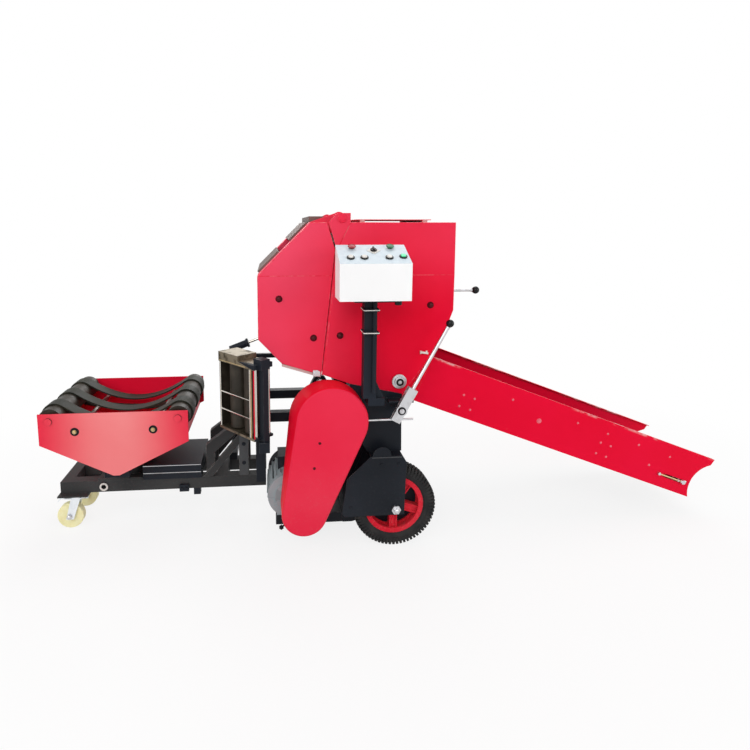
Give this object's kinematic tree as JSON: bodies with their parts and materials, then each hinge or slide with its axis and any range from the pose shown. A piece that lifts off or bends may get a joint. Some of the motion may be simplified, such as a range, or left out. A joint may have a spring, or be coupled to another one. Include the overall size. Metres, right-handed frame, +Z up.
{
  "type": "silage baler",
  "caption": "Towed round silage baler with roller chamber and hinged tailgate, inclined slat feed conveyor, belt-table bale wrapper, film stretcher and control box.",
  "frame": {"origin": "on the floor, under the middle of the machine's box", "axes": "+X along the machine to the low end of the feed conveyor, +Y across it away from the control box, +Z up"},
  "size_m": [3.6262, 1.122, 1.674],
  "materials": {
    "red_paint": "semi-gloss",
    "black_paint": "semi-gloss",
    "steel": "zinc-plated and bare",
    "chrome_rod": "polished",
    "grey_paint": "satin",
    "pale_paint": "satin",
    "black_plastic": "gloss",
    "belt_rubber": "matte",
    "tyre_rubber": "matte",
    "yellow_nylon": "matte"
  },
  "bodies": {
    "baler": {"side_plate_near": "red_paint", "side_plate_far": "red_paint", "body_cover_near": "red_paint", "body_cover_far": "red_paint", "front_shell": "red_paint", "hinge_brackets": "red_paint", "belt_guard": "red_paint", "chute_wall_near": "red_paint", "chute_wall_far": "red_paint", "chute_floor": "red_paint", "main_frame": "black_paint", "wrapper_frame": "black_paint", "transfer_ramp": "black_paint", "wheel_bracket_near": "black_paint", "wheel_bracket_far": "black_paint", "motor_base": "black_paint", "control_post": "black_paint", "film_stand": "black_paint", "film_cutter": "black_paint", "turntable_base": "black_paint", "turntable_drive": "black_paint", "axle": "steel", "countershaft": "steel", "clutch_lever": "steel", "feed_lever": "steel", "roller_hub": "steel", "front_rollers": "steel", "chute_rollers": "steel", "film_rods": "chrome_rod", "motor": "grey_paint", "control_box": "pale_paint", "control_buttons": "black_plastic", "lever_knobs": "black_plastic", "chute_slats": "belt_rubber"},
    "tailgate": {"gate_plate_near": "red_paint", "gate_plate_far": "red_paint", "gate_cover_near": "red_paint", "gate_cover_far": "red_paint", "gate_slats": "red_paint", "gate_rollers": "steel"},
    "turntable": {"table_frame": "black_paint", "table_plate_near": "red_paint", "table_plate_far": "red_paint", "table_pan": "red_paint", "table_rollers": "belt_rubber", "table_belts": "belt_rubber"},
    "wheel_near": {"tyre_near": "tyre_rubber", "rim_near": "red_paint"},
    "wheel_far": {"tyre_far": "tyre_rubber", "rim_far": "red_paint"},
    "castor_near": {"castor_fork_near": "steel"},
    "castor_far": {"castor_fork_far": "steel"},
    "castor_wheel_near_body": {"castor_wheel_near": "yellow_nylon"},
    "castor_wheel_far_body": {"castor_wheel_far": "yellow_nylon"},
    "film_roller_a_body": {"film_roller_a": "belt_rubber"},
    "film_roller_b_body": {"film_roller_b": "belt_rubber"}
  },
  "joints": [
    {"name": "tailgate_hinge", "type": "hinge", "parent": "baler", "child": "tailgate", "pos_m": [-0.32232, 0.079, 1.64], "axis": [0, 1, 0], "range_deg": [0, 70]},
    {"name": "turntable_turn", "type": "hinge", "parent": "baler", "child": "turntable", "pos_m": [-1.43732, 0.079, 0.346], "axis": [0, 0, 1], "continuous": true},
    {"name": "wheel_near_roll", "type": "hinge", "parent": "baler", "child": "wheel_near", "pos_m": [-0.05232, -0.311, 0.21], "axis": [0, 1, 0], "continuous": true},
    {"name": "wheel_far_roll", "type": "hinge", "parent": "baler", "child": "wheel_far", "pos_m": [-0.05232, 0.469, 0.21], "axis": [0, 1, 0], "continuous": true},
    {"name": "castor_near_swivel", "type": "hinge", "parent": "baler", "child": "castor_near", "pos_m": [-1.70832, -0.033, 0.188], "axis": [0, 0, 1], "continuous": true},
    {"name": "castor_far_swivel", "type": "hinge", "parent": "baler", "child": "castor_far", "pos_m": [-1.70832, 0.191, 0.188], "axis": [0, 0, 1], "continuous": true},
    {"name": "castor_near_roll", "type": "hinge", "parent": "castor_near", "child": "castor_wheel_near_body", "pos_m": [-1.74232, -0.033, 0.068], "axis": [0, 1, 0], "continuous": true},
    {"name": "castor_far_roll", "type": "hinge", "parent": "castor_far", "child": "castor_wheel_far_body", "pos_m": [-1.74232, 0.191, 0.068], "axis": [0, 1, 0], "continuous": true},
    {"name": "film_roller_a_turn", "type": "hinge", "parent": "baler", "child": "film_roller_a_body", "pos_m": [-0.74711, -0.32788, 0.78], "axis": [0, 0, 1], "continuous": true},
    {"name": "film_roller_b_turn", "type": "hinge", "parent": "baler", "child": "film_roller_b_body", "pos_m": [-0.81956, -0.24246, 0.78], "axis": [0, 0, 1], "continuous": true}
  ],
  "couplings": [
    {"joint": "film_roller_b_turn", "follows": "film_roller_a_turn", "ratio": -1.6}
  ]
}
